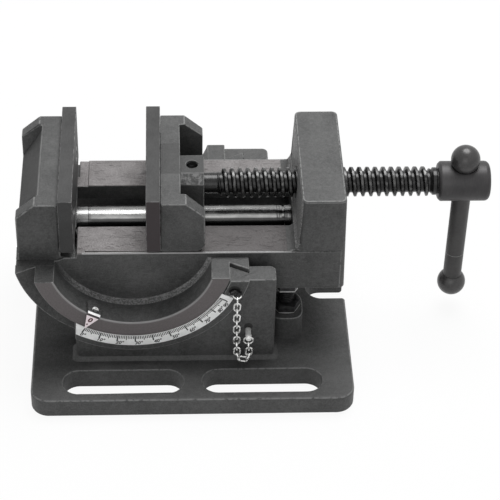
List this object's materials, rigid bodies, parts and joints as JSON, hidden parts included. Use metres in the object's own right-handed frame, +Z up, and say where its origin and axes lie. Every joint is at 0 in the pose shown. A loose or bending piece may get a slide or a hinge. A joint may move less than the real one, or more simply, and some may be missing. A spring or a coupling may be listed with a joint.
{
  "type": "angle drill press vise",
  "caption": "Cast drill press vise with smooth jaws whose body tilts from level to upright on a dovetailed arc with an angle scale, closed by a lead screw with a sliding bar handle.",
  "frame": {"origin": "centre of the base plate's underside, on the plane that the base rests on", "axes": "+X along the lead screw towards the handle, +Y across the jaws away from the side with the angle scale, +Z up"},
  "size_m": [0.2368, 0.162, 0.1044],
  "materials": {
    "paint": "satin dark grey paint on cast iron",
    "jaw_steel": "ground dark steel",
    "bright_steel": "polished",
    "black_oxide": "black oxide",
    "phosphate": "dark phosphate",
    "plated": "bright nickel plating",
    "aluminium": "satin"
  },
  "bodies": {
    "base": {"base_casting": "paint", "scale_plate": "aluminium", "level_jam_nut": "black_oxide", "lock_pin": "black_oxide", "lock_pin_ring": "plated", "chain_anchor_pin": "plated", "chain_end_ring": "plated", "chain_link_01": "plated", "chain_link_02": "plated", "chain_link_03": "plated", "chain_link_04": "plated", "chain_link_05": "plated", "chain_link_06": "plated", "chain_link_07": "plated", "chain_link_08": "plated", "chain_link_09": "plated", "chain_link_10": "plated", "chain_link_11": "plated", "chain_link_12": "plated", "chain_link_13": "plated", "chain_link_14": "plated"},
    "tilting_body": {"body_casting": "paint", "guide_rod": "bright_steel", "fixed_jaw_plate": "jaw_steel", "fixed_jaw_screw_1": "black_oxide", "fixed_jaw_screw_2": "black_oxide", "pointer": "black_oxide", "pointer_screw": "bright_steel"},
    "jaw_carriage": {"moving_jaw": "paint", "moving_jaw_plate": "jaw_steel", "moving_jaw_screw_1": "black_oxide", "moving_jaw_screw_2": "black_oxide", "retaining_screw": "black_oxide"},
    "screw": {"lead_screw": "black_oxide", "screw_hub": "phosphate"},
    "handle": {"handle_bar": "phosphate", "handle_ball_top": "phosphate", "handle_ball_bottom": "phosphate"},
    "level_stop": {"level_stop_screw": "black_oxide"},
    "lock_bolt_left": {"tilt_lock_bolt_1": "black_oxide"},
    "lock_bolt_right": {"tilt_lock_bolt_2": "black_oxide"}
  },
  "joints": [
    {"name": "tilt", "type": "hinge", "parent": "base", "child": "tilting_body", "pos_m": [-0.0294, 0, 0.0775], "axis": [0, -1, 0], "range_deg": [0, 90]},
    {"name": "jaw_travel", "type": "slide", "parent": "tilting_body", "child": "jaw_carriage", "axis": [1, 0, 0], "range_m": [-0.0351, 0.04]},
    {"name": "screw_turn", "type": "hinge", "parent": "jaw_carriage", "child": "screw", "pos_m": [0, 0, 0.0833], "axis": [1, 0, 0], "range_deg": [-3160, 3601]},
    {"name": "bar_slide", "type": "slide", "parent": "screw", "child": "handle", "axis": [0, 0, 1], "range_m": [0, 0.0539]},
    {"name": "stop_height", "type": "slide", "parent": "base", "child": "level_stop", "axis": [0, 0, 1], "range_m": [-0.004, 0]},
    {"name": "lock_bolt_left_turn", "type": "hinge", "parent": "base", "child": "lock_bolt_left", "pos_m": [-0.04627, 0.0588, 0.02557], "axis": [0, 1, 0], "range_deg": [-360, 0]},
    {"name": "lock_bolt_right_turn", "type": "hinge", "parent": "base", "child": "lock_bolt_right", "pos_m": [0.00988, 0.0588, 0.03957], "axis": [0, 1, 0], "range_deg": [-360, 0]}
  ],
  "couplings": [
    {"joint": "screw_turn", "follows": "jaw_travel", "rad_per_m": 1570.8}
  ]
}
